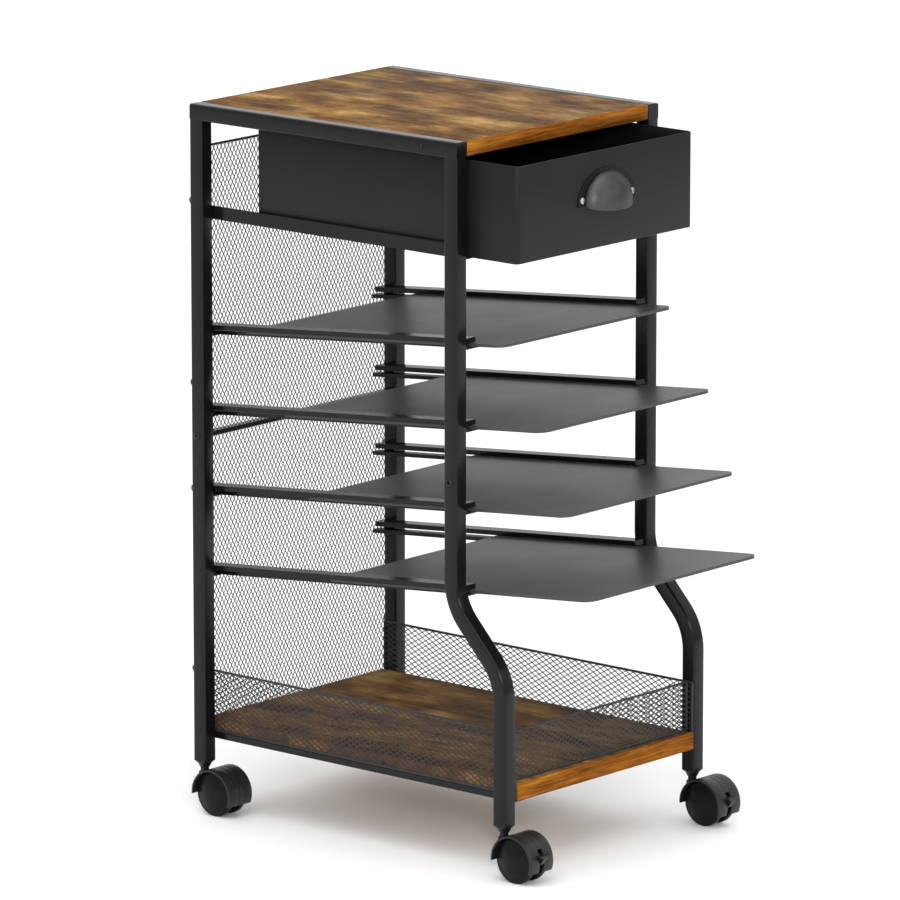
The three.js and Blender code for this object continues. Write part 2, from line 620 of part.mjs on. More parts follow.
addLegs();
addTopRails();
addAngleRails();
addBoards();
addCrossBar();
addTrays();
addBackMesh();
addFences();
addDrawer();
addCasters();

export default cart;
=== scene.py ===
"""Looks of a mobile file cart: coated tube frame, wood boards, mesh walls, sheet-steel drawer and trays.

Everything is in metres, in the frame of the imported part: +Z up, the drawer faces -Y, +X is on the right.
"""

import logging
import math
from dataclasses import dataclass
from enum import Enum
from typing import Any, Callable, Iterable, Sequence

import bpy
from mathutils import Matrix, Vector


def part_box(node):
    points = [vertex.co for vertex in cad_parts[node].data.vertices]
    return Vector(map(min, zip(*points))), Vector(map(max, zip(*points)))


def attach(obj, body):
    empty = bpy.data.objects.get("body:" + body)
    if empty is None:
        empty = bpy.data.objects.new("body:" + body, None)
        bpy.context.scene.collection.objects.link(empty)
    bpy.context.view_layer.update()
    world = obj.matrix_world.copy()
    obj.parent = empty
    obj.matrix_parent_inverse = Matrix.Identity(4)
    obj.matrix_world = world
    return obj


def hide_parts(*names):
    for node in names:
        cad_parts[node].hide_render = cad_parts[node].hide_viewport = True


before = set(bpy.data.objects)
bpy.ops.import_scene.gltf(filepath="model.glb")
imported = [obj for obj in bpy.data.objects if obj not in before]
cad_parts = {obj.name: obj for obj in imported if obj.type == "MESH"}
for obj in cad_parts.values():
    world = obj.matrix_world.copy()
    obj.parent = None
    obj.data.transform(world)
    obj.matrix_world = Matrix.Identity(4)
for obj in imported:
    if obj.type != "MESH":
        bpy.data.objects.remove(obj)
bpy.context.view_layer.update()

logging.basicConfig(level=logging.INFO, format="%(message)s")
LOG = logging.getLogger("file_cart")

MM = 0.001
TAU = 2.0 * math.pi
PHOTO_PIXELS = 900
TRAY_LEVELS = range(1, 5)

# Most values of an uneven pattern lie between these
PATTERN_RANGE = {"From Min": 0.3, "From Max": 0.7}

# How far the middle of a rounded edge lies in from both faces, as a share of its radius
ROUND_MIDDLE = 0.3

Point = tuple[float, float, float]
Point2 = tuple[float, float]
Face = tuple[int, ...]
Stop = tuple[float, str]
Tree = bpy.types.NodeTree
Socket = bpy.types.NodeSocket
Material = bpy.types.Material


class Side(Enum):
    """Which side of the cart a piece is on, as the sign of X."""

    LEFT = -1
    RIGHT = 1

    @property
    def label(self) -> str:
        """The side's name as node names spell it."""
        return self.name.lower()


class End(Enum):
    """Which end of the cart a piece is at."""

    FRONT = "front"
    REAR = "rear"


# Materials


def linear(code: str) -> tuple[float, float, float, float]:
    """Turn an sRGB hex colour into linear RGBA.

    Args:
        code: six hex digits with a leading hash sign.

    Returns:
        Linear red, green, blue and an alpha of one.
    """
    channels = [int(code[i:i + 2], 16) / 255.0 for i in (1, 3, 5)]
    red, green, blue = [c / 12.92 if c <= 0.04045 else ((c + 0.055) / 1.055) ** 2.4 for c in channels]
    return red, green, blue, 1.0


def add_node(
    tree: Tree,
    kind: str,
    inputs: dict[str, Any] | None = None,
    stops: Sequence[Stop] = (),
    **settings: Any,
) -> bpy.types.Node:
    """Add one shader node with its settings, values and links.

    Args:
        tree: the node tree.
        kind: Blender's type name of the node.
        inputs: input name to a value, or to the socket that feeds it.
        stops: position and hex colour of each stop in order, for a colour ramp.
        settings: attributes of the node itself.

    Returns:
        The new node.
    """
    node = tree.nodes.new(kind)
    for name, value in settings.items():
        setattr(node, name, value)
    for name, value in (inputs or {}).items():
        if isinstance(value, Socket):
            tree.links.new(value, node.inputs[name])
        else:
            node.inputs[name].default_value = value
    if stops:
        elements = node.color_ramp.elements
        while len(elements) < len(stops):
            elements.new(0.5)
        for element, (place, code) in zip(elements, stops):
            element.position = place
            element.color = linear(code)
    return node


def start_material(name: str) -> tuple[Material, Tree, bpy.types.Node]:
    """Start a node material.

    Args:
        name: the material's name.

    Returns:
        The material, its node tree and its principled shader.
    """
    material = bpy.data.materials.new(name)
    material.use_nodes = True
    tree = material.node_tree
    return material, tree, tree.nodes["Principled BSDF"]


def cell_pattern(tree: Tree, cell_mm: Point, detail: float, rough: float = 0.5, shift: float = 0.0) -> Socket:
    """Lay an uneven pattern on the piece itself, with cells of a real size.

    Args:
        tree: the material's node tree.
        cell_mm: size of one cell along X, Y and Z, in millimetres.
        detail: octaves of finer unevenness.
        rough: strength of each finer octave.
        shift: offset in cells, which moves one layer of a pattern off another.

    Returns:
        The socket of values from 0 to 1.
    """
    place = add_node(tree, "ShaderNodeTexCoord")
    scale = tuple(1.0 / (size * MM) for size in cell_mm)
    to_cells = {"Vector": place.outputs["Object"], "Scale": scale, "Location": (shift, shift, shift)}
    cells = add_node(tree, "ShaderNodeMapping", to_cells)
    unevenness = {"Vector": cells.outputs["Vector"], "Scale": 1.0, "Detail": detail, "Roughness": rough}
    return add_node(tree, "ShaderNodeTexNoise", unevenness).outputs["Fac"]


def feed(tree: Tree, shader: bpy.types.Node, links: dict[str, Socket]) -> None:
    """Link sockets to the shader's inputs of the given names."""
    for name, socket in links.items():
        tree.links.new(socket, shader.inputs[name])


@dataclass(frozen=True)
class UnevenFinish:
    """A finish whose tint and gloss wander with its marks, over a fine texture where it has one."""

    name: str
    colour: str
    lighter: str
    roughness: float
    index: float | None = None
    metallic: float = 0.0
    tint_range: Point2 = (0.3, 0.7)
    mark_mm: Point = (10.0, 10.0, 10.0)
    mark_detail: float = 3.0
    mark_rough: float = 0.6
    smoother: float = 0.06
    rougher: float = 0.1
    texture_mm: float = 0.0
    texture_detail: float = 1.0
    texture_height_mm: float = 0.0
    texture_strength: float = 0.0

    def build(self) -> Material:
        """Make the finish.

        Returns:
            The material.
        """
        material, tree, shader = start_material(self.name)
        marks = cell_pattern(tree, self.mark_mm, self.mark_detail, self.mark_rough)
        stops = tuple(zip(self.tint_range, (self.colour, self.lighter)))
        tint = add_node(tree, "ShaderNodeValToRGB", {"Fac": marks}, stops)
        limits = {"To Min": self.roughness - self.smoother, "To Max": self.roughness + self.rougher}
        gloss = add_node(tree, "ShaderNodeMapRange", {"Value": marks, **PATTERN_RANGE, **limits})
        links = {"Base Color": tint.outputs["Color"], "Roughness": gloss.outputs["Result"]}
        if self.texture_mm > 0.0:
            texture = cell_pattern(tree, (self.texture_mm,) * 3, self.texture_detail)
            height = self.texture_height_mm * MM
            relief = {"Height": texture, "Distance": height, "Strength": self.texture_strength}
            links["Normal"] = add_node(tree, "ShaderNodeBump", relief).outputs["Normal"]
        feed(tree, shader, links)
        shader.inputs["Metallic"].default_value = self.metallic
        if self.index is not None:
            shader.inputs["IOR"].default_value = self.index
        return material


@dataclass(frozen=True)
class PowderCoat(UnevenFinish):
    """Polyester powder coat baked on steel: satin, with a fine orange peel that breaks up highlights."""

    index: float = 1.36
    tint_range: Point2 = (0.3, 0.75)
    mark_mm: Point = (60.0, 60.0, 60.0)
    mark_detail: float = 4.0
    smoother: float = 0.02
    rougher: float = 0.03
    texture_mm: float = 1.1
    texture_detail: float = 2.0
    texture_height_mm: float = 0.05
    texture_strength: float = 0.35


@dataclass(frozen=True)
class MouldedPlastic(UnevenFinish):
    """Injection-moulded nylon: dark, semi-gloss, with handling marks and a faint spark-eroded texture.

    The real texture is about 0.1 mm wide, too fine to show, so it is drawn coarser.
    """

    tint_range: Point2 = (0.35, 0.8)
    mark_mm: Point = (14.0, 14.0, 14.0)
    mark_detail: float = 5.0
    mark_rough: float = 0.65
    texture_mm: float = 0.6
    texture_height_mm: float = 0.02
    texture_strength: float = 0.3


@dataclass(frozen=True)
class PlatedMetal(UnevenFinish):
    """Plated steel or zinc: metallic, with fine marks from the tool or mould that soften its reflections."""

    metallic: float = 1.0
    mark_mm: Point = (4.0, 4.0, 0.4)


@dataclass(frozen=True)
class RusticBoard:
    """Particle board with printed rustic wood paper: long brown grain, smoky stains and short dark pores."""

    name: str
    stops: tuple[Stop, ...]
    stain: str
    stain_share: float
    grain_cell_mm: Point
    patch_cell_mm: Point
    pore_cell_mm: Point
    grain_share: float
    stain_scale: float = 1.7
    pore_depth_mm: float = 0.08
    pore_strength: float = 0.4
    roughness: float = 0.6
    smoother: float = 0.06
    rougher: float = 0.08
    index: float = 1.08

    def build(self) -> Material:
        """Make the printed board.

        Returns:
            The material.
        """
        material, tree, shader = start_material(self.name)
        patches = cell_pattern(tree, self.patch_cell_mm, detail=5.0, rough=0.6)
        grain = cell_pattern(tree, self.grain_cell_mm, detail=5.0, rough=0.7, shift=7.0)
        pores = cell_pattern(tree, self.pore_cell_mm, detail=2.0, shift=3.0)
        layers = {"Factor": self.grain_share, "A": patches, "B": grain}
        blend = add_node(tree, "ShaderNodeMix", layers, data_type="FLOAT")
        wood = add_node(tree, "ShaderNodeValToRGB", {"Fac": blend.outputs["Result"]}, self.stops)
        smoke_cell_mm = tuple(self.stain_scale * size for size in self.patch_cell_mm)
        smoke = cell_pattern(tree, smoke_cell_mm, detail=4.0, rough=0.6, shift=19.0)
        smoke_range = {"From Min": 0.5, "From Max": 0.68, "To Min": 0.0, "To Max": self.stain_share}
        smoke_share = add_node(tree, "ShaderNodeMapRange", {"Value": smoke, **smoke_range})
        stained = add_node(
            tree,
            "ShaderNodeMix",
            {"Factor": smoke_share.outputs["Result"], "A": wood.outputs["Color"], "B": linear(self.stain)},
            data_type="RGBA",
            blend_type="MIX",
        )
        pore_range = {"From Min": 0.3, "From Max": 0.42, "To Min": 0.55, "To Max": 1.0}
        pore_dark = add_node(tree, "ShaderNodeMapRange", {"Value": pores, **pore_range})
        channels = {name: pore_dark.outputs["Result"] for name in ("Red", "Green", "Blue")}
        pore_colour = add_node(tree, "ShaderNodeCombineColor", channels)
        final = add_node(
            tree,
            "ShaderNodeMix",
            {"Factor": 1.0, "A": stained.outputs["Result"], "B": pore_colour.outputs["Color"]},
            data_type="RGBA",
            blend_type="MULTIPLY",
        )
        relief = {"Height": pores, "Distance": self.pore_depth_mm * MM, "Strength": self.pore_strength}
        bump = add_node(tree, "ShaderNodeBump", relief)
        limits = {"To Min": self.roughness + self.rougher, "To Max": self.roughness - self.smoother}
        sheen = add_node(tree, "ShaderNodeMapRange", {"Value": grain, **PATTERN_RANGE, **limits})
        feed(tree, shader, {
            "Base Color": final.outputs["Result"],
            "Roughness": sheen.outputs["Result"],
            "Normal": bump.outputs["Normal"],
        })
        shader.inputs["IOR"].default_value = self.index
        return material


@dataclass(frozen=True)
class StudioPaper:
    """Seamless white background paper: matt, with a barely visible unevenness along the roll."""

    name: str = "white_background_paper"
    colour: str = "#fcfcfc"
    lighter: str = "#ffffff"
    cloud_mm: float = 400.0
    roughness: float = 0.9

    def build(self) -> Material:
        """Make the paper.

        Returns:
            The material.
        """
        material, tree, shader = start_material(self.name)
        cloud = cell_pattern(tree, (self.cloud_mm,) * 3, detail=3.0)
        stops = ((0.3, self.colour), (0.7, self.lighter))
        tint = add_node(tree, "ShaderNodeValToRGB", {"Fac": cloud}, stops)
        feed(tree, shader, {"Base Color": tint.outputs["Color"]})
        shader.inputs["Roughness"].default_value = self.roughness
        return material


@dataclass
class Finishes:
    """All the cart's materials, built once."""

    frame_coat: Material
    drawer_coat: Material
    tray_coat: Material
    mesh_coat: Material
    pull_nickel: Material
    pull_enamel: Material
    board_face: Material
    board_edge: Material
    hood_plastic: Material
    wheel_plastic: Material
    dark_steel: Material
    bright_steel: Material

    @classmethod
    def build(cls) -> "Finishes":
        """Make every material.

        Returns:
            The materials together.
        """
        face_stops = ((0.34, "#433224"), (0.45, "#674a2f"), (0.55, "#86653d"), (0.66, "#a98a58"))
        edge_stops = ((0.32, "#45260f"), (0.44, "#7a4715"), (0.56, "#9c6020"), (0.68, "#be853c"))
        return cls(
            # Black coat on the tubes and bars: the smoothest coat, so bends and corners carry a clear shine
            frame_coat=PowderCoat("powder_coated_tube_steel", "#0e0e10", "#131315", 0.19, index=1.3).build(),
            # Black coat on the folded drawer: even and satin, with soft shading on its large faces
            drawer_coat=PowderCoat(
                "powder_coated_drawer_steel",
                "#171719",
                "#1b1b1d",
                0.4,
                index=1.26,
            ).build(),
            # Charcoal coat on the trays: a little lighter, so that their flat tops part from the frame
            tray_coat=PowderCoat("powder_coated_tray_steel", "#3a3a3c", "#404042", 0.4, index=1.4).build(),
            # Dark grey coat on the mesh: thin strands with little shine
            mesh_coat=PowderCoat("powder_coated_expanded_steel", "#2a2a2c", "#343436", 0.45).build(),
            # Black nickel on the cast pull: grey metal with a broad, soft shine on the dome
            pull_nickel=PlatedMetal(
                "black_nickel_on_zinc",
                "#49494b",
                "#515153",
                0.45,
                mark_mm=(12.0, 12.0, 12.0),
            ).build(),
            # Painted shade on the pull's flange: a near-black coat, darker than the dome's nickel, stands in
            # for shade and draws a dark line round the dome
            pull_enamel=PowderCoat("dark_flange_painted_shade", "#09090a", "#0d0d0e", 0.4, index=1.25).build(),
            # Matt printed paper: brown and golden patches drawn out along the board's depth
            board_face=RusticBoard(
                "rustic_print_board_face",
                face_stops,
                "#463a35",
                0.8,
                grain_cell_mm=(5.0, 60.0, 60.0),
                patch_cell_mm=(30.0, 62.0, 62.0),
                pore_cell_mm=(1.6, 18.0, 18.0),
                grain_share=0.3,
            ).build(),
            # Printed edge band: more orange than the face, with fine streaks along the edge
            board_edge=RusticBoard(
                "rustic_print_edge_band",
                edge_stops,
                "#5a3216",
                0.5,
                grain_cell_mm=(60.0, 60.0, 3.0),
                patch_cell_mm=(80.0, 80.0, 9.0),
                pore_cell_mm=(20.0, 20.0, 1.2),
                grain_share=0.55,
            ).build(),
            # Moulded nylon of the hoods, brakes and sockets: near black, with a soft light on its curves
            hood_plastic=MouldedPlastic("moulded_nylon_hood", "#1a1a1b", "#202021", 0.38, 1.42).build(),
            # Moulded nylon of the wheels: darker than the hoods, with a faint shine on the domed faces
            wheel_plastic=MouldedPlastic("moulded_nylon_wheel", "#0b0b0c", "#0f0f10", 0.3, 1.24).build(),
            # Blackened steel of stems, axles and frame screws: dark, with a metal glint
            dark_steel=PlatedMetal("blackened_steel", "#2a2a2c", "#3b3b3d", 0.35).build(),
            # Bright nickel of the pull's screws: two small shining points
            bright_steel=PlatedMetal("nickel_plated_steel", "#a2a2a4", "#b8b8ba", 0.28).build(),
        )


# Mesh helpers


class MeshDraft:
    """Collects the points and faces of one piece before it becomes an object."""

    def __init__(self) -> None:
        """Start an empty draft."""
        self.points: list[Point] = []
        self.faces: list[Face] = []

    def add(self, points: Iterable[Sequence[float]], faces: Iterable[Sequence[int]]) -> None:
        """Add points and faces.

        Args:
            points: the new points.
            faces: faces whose indices count from the first new point.
        """
        start = len(self.points)
        self.points.extend(tuple(point) for point in points)
        self.faces.extend(tuple(start + index for index in face) for face in faces)

    def loft(self, rings: Sequence[Sequence[Sequence[float]]], caps: bool = True) -> None:
        """Skin a run of closed rings that have the same number of points.

        Args:
            rings: the rings in order, each a list of points.
            caps: whether the first and last ring are closed by a face.
        """
        count = len(rings[0])
        points = [point for ring in rings for point in ring]
        faces: list[Face] = []
        for row in range(len(rings) - 1):
            for i in range(count):
                j = (i + 1) % count
                faces.append((row * count + i, row * count + j, (row + 1) * count + j, (row + 1) * count + i))
        if caps:
            faces.append(tuple(reversed(range(count))))
            faces.append(tuple(range((len(rings) - 1) * count, len(rings) * count)))
        self.add(points, faces)

    def rod(self, start: Vector, end: Vector, radius: float, sides: int = 10) -> None:
        """Add a round rod between two points.

        Args:
            start: middle of one end.
            end: middle of the other end.
            radius: the rod's radius.
            sides: faces round the rod.
        """
        along = (end - start).normalized()
        across = along.orthogonal().normalized()
        other = along.cross(across)
        angles = [TAU * i / sides for i in range(sides)]
        ring = [radius * (math.cos(a) * across + math.sin(a) * other) for a in angles]
        self.loft([[start + point for point in ring], [end + point for point in ring]])

    def lathe(self, profile: Sequence[Point2], axis: Matrix, sides: int = 48) -> None:
        """Turn a profile of radius and height about the local Z of a placing matrix.

        Args:
            profile: pairs of radius and height; the first and last radius may be zero.
            axis: places the turned shape.
            sides: steps round the axis.
        """
        tiny = 1e-6
        rings = []
        for radius, height in profile:
            reach = max(radius, tiny)
            angles = [TAU * i / sides for i in range(sides)]
            rings.append([axis @ Vector((reach * math.cos(a), reach * math.sin(a), height)) for a in angles])
        self.loft(rings)

    def build(
        self,
        name: str,
        body: str,
        slot: str,
        finish: Material,
        sharp_deg: float = 32.0,
    ) -> bpy.types.Object:
        """Make the object, shade it, and let it ride on a body.

        Args:
            name: the piece's name.
            body: the body that carries it.
            slot: the record's material slot; not used.
            finish: the material.
            sharp_deg: edges sharper than this stay crisp.

        Returns:
            The new object.
        """
        mesh = bpy.data.meshes.new(name)
        mesh.from_pydata(self.points, [], self.faces)
        mesh.validate()
        mesh.shade_smooth()
        mesh.set_sharp_from_angle(angle=math.radians(sharp_deg))
        mesh.materials.append(finish)
        piece = bpy.data.objects.new(name, mesh)
        bpy.context.scene.collection.objects.link(piece)
        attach(piece, body)
        LOG.info("piece %s on %s: %d faces", name, body, len(self.faces))
        return piece


def rounded_rectangle(width: float, height: float, radius: float, steps: int = 4) -> list[Point2]:
    """Outline of a rectangle with round corners, anticlockwise about its centre.

    Args:
        width: size along the first axis.
        height: size along the second axis.
        radius: corner radius.
        steps: segments in each corner.

    Returns:
        The outline's points.
    """
    outline = []
    for corner, (sign_x, sign_y) in enumerate(((1, 1), (-1, 1), (-1, -1), (1, -1))):
        centre_x = sign_x * (width / 2 - radius)
        centre_y = sign_y * (height / 2 - radius)
        for step in range(steps + 1):
            angle = (corner + step / steps) * math.pi / 2
            outline.append((centre_x + radius * math.cos(angle), centre_y + radius * math.sin(angle)))
    return outline


def round_edges(piece: bpy.types.Object, width_mm: float, segments: int = 3) -> None:
    """Round the sharp edges of a piece with modifiers.

    Args:
        piece: the object.
        width_mm: size of the rounding.
        segments: faces across the rounding.
    """
    weld = piece.modifiers.new("weld_seams", "WELD")
    weld.merge_threshold = 0.01 * MM
    bevel = piece.modifiers.new("rounded_edges", "BEVEL")
    bevel.width = width_mm * MM
    bevel.segments = segments
    bevel.limit_method = "ANGLE"
    bevel.angle_limit = math.radians(35.0)


def paint_node(node: str, finish: Material, edge_mm: float = 0.0) -> None:
    """Give a carried-over node its finish and, if asked, rounded edges.

    Args:
        node: the node's name.
        finish: the material for all its faces.
        edge_mm: size of the edge rounding, or zero for none.
    """
    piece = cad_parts[node]
    piece.data.materials.clear()
    piece.data.materials.append(finish)
    if edge_mm > 0.0:
        round_edges(piece, edge_mm)
    LOG.info("node %s keeps its shape, finish %s", node, finish.name)


# Sub-assemblies


@dataclass
class TubeFrame:
    """Square-tube legs and top rails, with the bars that join them."""

    finishes: Finishes
    corner_radius: float = 2.4 * MM
    end_round: float = 0.7 * MM
    hair: float = 0.1 * MM
    bend_radius: float = 60.0 * MM
    bend_deg: float = 43.0
    bend_middle: float = 182.0 * MM
    bend_steps: int = 14
    edge_mm: float = 0.5
    cross_bar_edge_mm: float = 0.8

    def leg_path(self, low: Vector, high: Vector, tube: float) -> list[tuple[float, float, float]]:
        """Centre line of a leg in its side view.

        Args:
            low: lowest corner of the leg's box.
            high: highest corner of the leg's box.
            tube: the tube's side.

        Returns:
            Triples of y, z and the lean of the tube from upright.
        """
        head_y = high.y - tube / 2
        foot_y = low.y + tube / 2
        forward = head_y - foot_y
        if forward < tube / 4:
            return [(head_y, low.z, 0.0), (head_y, high.z, 0.0)]
        angle = math.radians(self.bend_deg)
        rise = self.bend_radius * math.sin(angle)
        run = self.bend_radius * (1.0 - math.cos(angle))
        slant = (forward - 2.0 * run) / math.tan(angle)
        low_end = low.z + self.bend_middle - rise - slant / 2
        high_end = low.z + self.bend_middle + rise + slant / 2
        leans = [angle * step / self.bend_steps for step in range(self.bend_steps + 1)]
        path = [(foot_y, low.z, 0.0)]
        for lean in leans:
            offset = self.bend_radius * (1.0 - math.cos(lean))
            path.append((foot_y + offset, low_end + self.bend_radius * math.sin(lean), lean))
        for lean in reversed(leans):
            offset = self.bend_radius * (1.0 - math.cos(lean))
            path.append((head_y - offset, high_end - self.bend_radius * math.sin(lean), lean))
        path.append((head_y, high.z, 0.0))
        return path

    def tube_section(self, tube: float, inset: float) -> list[Point2]:
        """Rounded square section of a tube, drawn in by an inset."""
        return rounded_rectangle(tube - 2 * inset, tube - 2 * inset, self.corner_radius - inset)

    def add_leg(self, side: Side, end: End) -> None:
        """Build one leg as a swept tube with softened ends.

        Args:
            side: the leg's side of the cart.
            end: the leg's end of the cart.
        """
        node = f"{side.label}_{end.value}_leg"
        low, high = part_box(node)
        tube = high.x - low.x
        centre_x = (low.x + high.x) / 2
        under_weld = Vector((high.x, high.y, high.z - self.corner_radius))
        path = self.leg_path(low, under_weld, tube)
        foot_y, foot_z, _ = path[0]
        head_y, head_z, _ = path[-1]
        weld_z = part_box(f"{side.label}_top_rail")[0].z + self.end_round
        stations = [(path[0], self.end_round), ((foot_y, foot_z + self.end_round, 0.0), 0.0)]
        stations += [(place, 0.0) for place in path[1:-1]]
        stations += [((head_y, weld_z, 0.0), 0.0), ((head_y, weld_z + self.hair, 0.0), self.hair)]
        stations.append(((head_y, head_z, 0.0), self.hair))
        rings = []
        for (y, z, lean), inset in stations:
            ring = []
            for across, outward in self.tube_section(tube, inset):
                ring.append((centre_x + across, y + outward * math.cos(lean), z - outward * math.sin(lean)))
            rings.append(ring)
        draft = MeshDraft()
        draft.loft(rings)
        leg = draft.build(f"{node}_tube", "frame", "frame_steel", self.finishes.frame_coat)
        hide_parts(node)

    def add_top_rail(self, side: Side) -> None:
        """Build one top rail as a tube that is welded and ground flush with the legs' heads.

        Args:
            side: the rail's side of the cart.
        """
        node = f"{side.label}_top_rail"
        low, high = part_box(node)
        tube = high.x - low.x
        front = low.y - tube
        back = high.y + tube
        centre_x = (low.x + high.x) / 2
        centre_z = (low.z + high.z) / 2
        soft = self.end_round
        stations = [(front, soft), (front + soft, 0.0), (back - soft, 0.0), (back, soft)]
        rings = []
        for y, inset in stations:
            section = self.tube_section(tube, inset)
            rings.append([(centre_x - across, y, centre_z + upward) for across, upward in section])
        draft = MeshDraft()
        draft.loft(rings)
        rail = draft.build(f"{node}_tube", "frame", "frame_steel", self.finishes.frame_coat)
        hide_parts(node)

    def build(self) -> None:
        """Build the tubes and dress the bars."""
        for side in Side:
            for end in End:
                self.add_leg(side, end)
            self.add_top_rail(side)
            paint_node(f"{side.label}_drawer_rail", self.finishes.frame_coat, self.edge_mm)
            paint_node(f"{side.label}_base_rail", self.finishes.frame_coat, self.edge_mm)
            for level in TRAY_LEVELS:
                paint_node(f"{side.label}_tray_rail_{level}", self.finishes.frame_coat, self.edge_mm)
        paint_node("rear_cross_bar", self.finishes.frame_coat, self.cross_bar_edge_mm)


@dataclass
class Boards:
    """The wood top and base, with edge bands on their front and back."""

    finishes: Finishes
    edge_radius: float = 1.0 * MM

    def add_board(self, node: str) -> None:
        """Build one board as a rounded slab with edge bands on its front and back.

        Args:
            node: the node that the board stands for.
        """
        low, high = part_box(node)
        size = high - low
        centre = (low + high) / 2
        radius = self.edge_radius
        outline = rounded_rectangle(size.x, size.y, radius, steps=3)
        inner = rounded_rectangle(size.x - 2 * radius, size.y - 2 * radius, radius * 0.2, steps=3)
        levels = [(inner, low.z), (outline, low.z + radius), (outline, high.z - radius), (inner, high.z)]
        rings = [[(centre.x + x, centre.y + y, z) for x, y in ring] for ring, z in levels]
        draft = MeshDraft()
        draft.loft(rings)
        board = draft.build(f"{node}_slab", "frame", "board_wood", self.finishes.board_face, sharp_deg=60.0)
        board.data.materials.append(self.finishes.board_edge)
        for face in board.data.polygons:
            face.material_index = 1 if abs(face.normal.y) > 0.5 else 0
        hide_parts(node)

    def build(self) -> None:
        """Build both boards."""
        self.add_board("top_board")
        self.add_board("base_board")


@dataclass
class MeshWalls:
    """Expanded-metal panels with wire rims: the back panel and the low walls round the base."""

    finishes: Finishes
    long_diagonal: float = 9.6 * MM
    short_diagonal: float = 5.5 * MM
    panel_strand: float = 0.8 * MM
    fence_strand: float = 0.95 * MM
    strand_depth: float = 0.5 * MM
    crossing_share: float = 0.12
    rim_radius: float = 1.3 * MM

    def strands(self, width: float, height: float, upright: bool) -> list[tuple[Point2, Point2, int]]:
        """The crossing straight strands of a diamond mesh, cut to a rectangle.

        Args:
            width: the rectangle's width.
            height: the rectangle's height.
            upright: whether the diamonds stand on their points.

        Returns:
            Each strand's two ends and which of the two families it is in.
        """
        step_x = self.short_diagonal if upright else self.long_diagonal
        step_z = self.long_diagonal if upright else self.short_diagonal
        rows = height / step_z
        columns = width / step_x
        found = []
        for k in range(-math.ceil(rows), math.ceil(columns) + 1):
            start = max(0.0, k * step_x)
            stop = min(width, (k + rows) * step_x)
            if stop - start > step_x / 4:
                first = (start, (start / step_x - k) * step_z)
                last = (stop, (stop / step_x - k) * step_z)
                found.append((first, last, 1))
        for k in range(0, math.ceil(columns + rows) + 1):
            start = max(0.0, (k - rows) * step_x)
            stop = min(width, k * step_x)
            if stop - start > step_x / 4:
                first = (start, (k - start / step_x) * step_z)
                last = (stop, (k - stop / step_x) * step_z)
                found.append((first, last, -1))
        return found

    def add_panel(self, node: str, wall: Matrix, width: float, height: float, upright: bool) -> None:
        """Build one panel of strands with rims.

        Args:
            node: the node that the panel stands for.
            wall: places the panel's (width, height, outward) axes.
            width: the panel's width.
            height: the panel's height.
            upright: whether the diamonds stand on their points.
        """
        draft = MeshDraft()
        half = (self.panel_strand if upright else self.fence_strand) / 2
        for (x0, z0), (x1, z1), family in self.strands(width, height, upright):
            along = Vector((x1 - x0, z1 - z0)).normalized()
            side = Vector((-along.y, along.x)) * half
            offset = family * self.strand_depth * self.crossing_share
            rings = []
            for x, z in ((x0, z0), (x1, z1)):
                ring = []
                for sign, level in ((-1, -0.5), (1, -0.5), (1, 0.5), (-1, 0.5)):
                    place = Vector((x + sign * side.x, z + sign * side.y, offset + level * self.strand_depth))
                    ring.append(wall @ place)
                rings.append(ring)
            draft.loft(rings)
        corners = [(0.0, 0.0), (width, 0.0), (width, height), (0.0, height)]
        places = [wall @ Vector((x, z, 0.0)) for x, z in corners]
        for start, stop in zip(places, places[1:] + places[:1]):
            draft.rod(start, stop, self.rim_radius)
        panel = draft.build(f"{node}_strands", "frame", "mesh_steel", self.finishes.mesh_coat)
        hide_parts(node)

    def build(self) -> None:
        """Build the back panel and the three low walls."""
        low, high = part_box("back_mesh_panel")
        middle_y = (low.y + high.y) / 2
        wall = Matrix(((1, 0, 0, low.x), (0, 0, -1, middle_y), (0, 1, 0, low.z), (0, 0, 0, 1)))
        self.add_panel("back_mesh_panel", wall, high.x - low.x, high.z - low.z, True)
        low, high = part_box("front_basket_fence")
        rim = self.rim_radius
        middle_y = (low.y + high.y) / 2
        wall = Matrix(((1, 0, 0, low.x), (0, 0, -1, middle_y), (0, 1, 0, low.z + rim), (0, 0, 0, 1)))
        self.add_panel("front_basket_fence", wall, high.x - low.x, high.z - low.z - 2 * rim, False)
        for side in Side:
            node = f"{side.label}_basket_fence"
            low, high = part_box(node)
            middle_x = (low.x + high.x) / 2
            wall = Matrix(((0, 0, 1, middle_x), (1, 0, 0, low.y), (0, 1, 0, low.z + rim), (0, 0, 0, 1)))
            self.add_panel(node, wall, high.y - low.y, high.z - low.z - 2 * rim, False)


